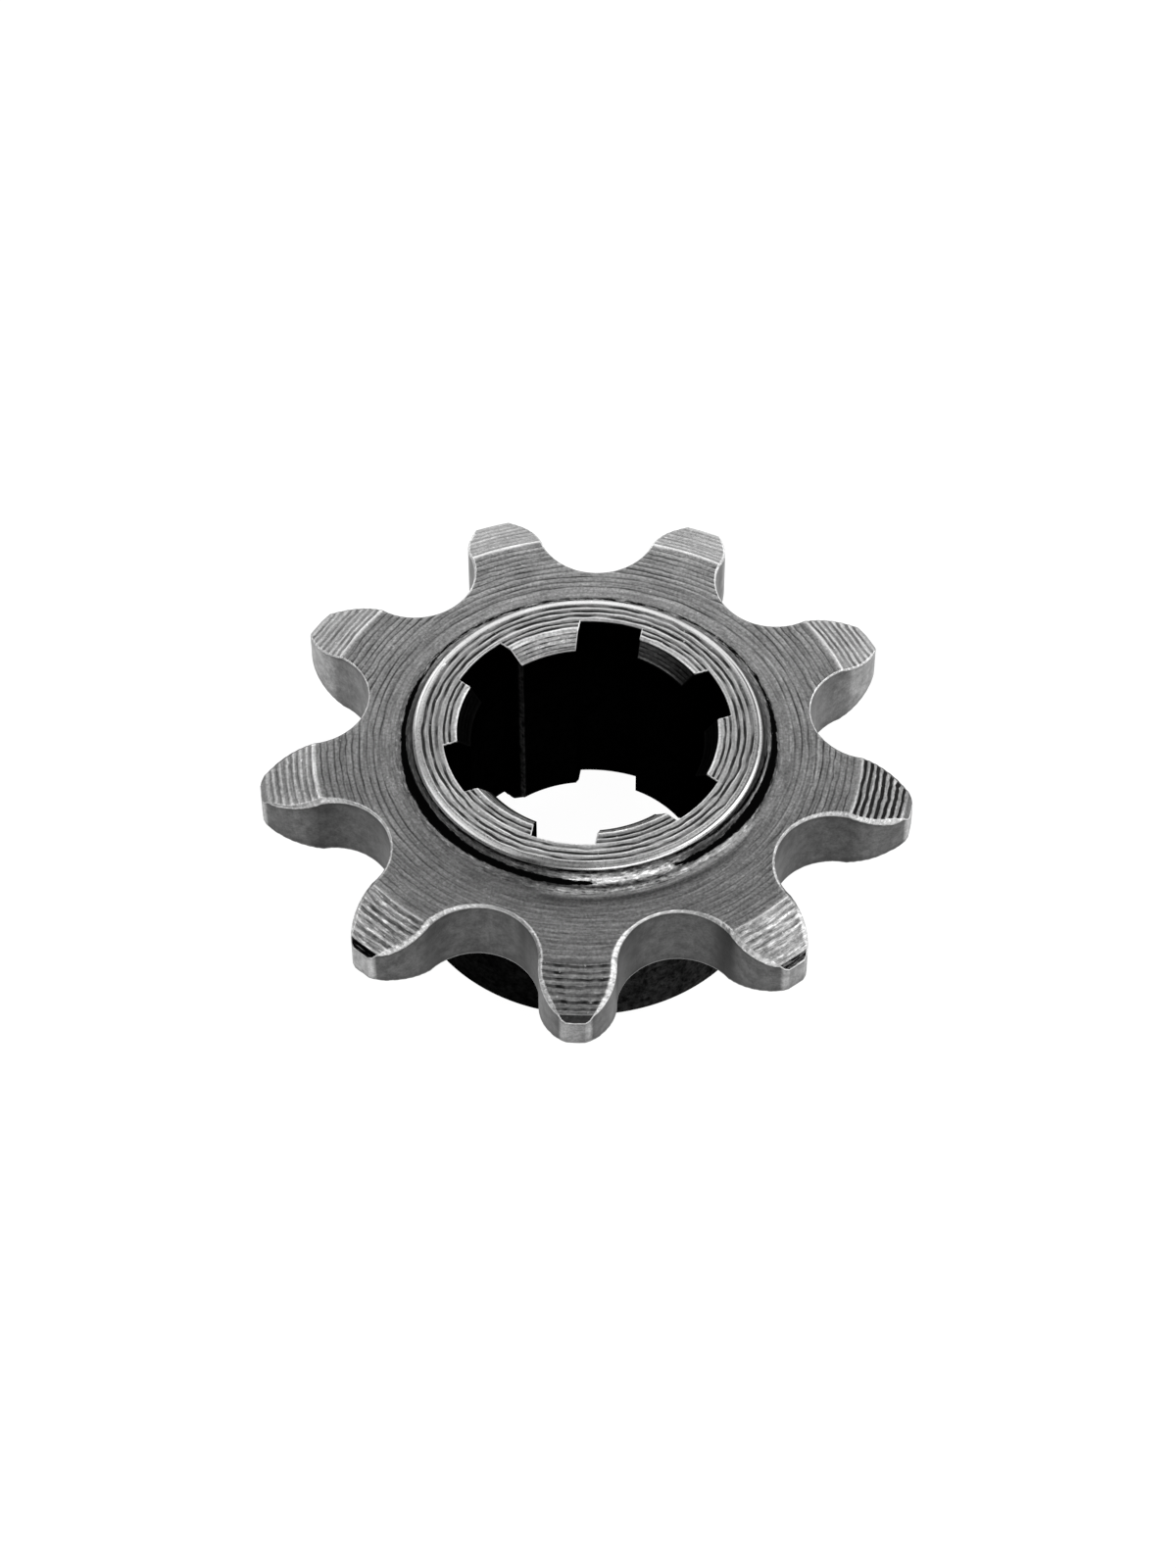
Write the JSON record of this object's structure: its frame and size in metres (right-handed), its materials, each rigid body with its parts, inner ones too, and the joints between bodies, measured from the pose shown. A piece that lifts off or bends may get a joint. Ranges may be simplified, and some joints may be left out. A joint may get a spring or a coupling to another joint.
{
  "type": "chain sprocket",
  "caption": "Small steel front sprocket: a beveled toothed plate on a hub, with a short boss and a straight-sided splined bore, drives a roller chain.",
  "frame": {"origin": "on the bore's axis, at the hub's end face", "axes": "+Z along the bore's axis, from the hub to the boss; one tooth points along -Y"},
  "size_m": [0.0422, 0.0416, 0.0156],
  "materials": {
    "steel": "bare turned and milled steel with visible tool rings"
  },
  "bodies": {
    "root": {"sprocket": "steel"}
  },
  "joints": []
}
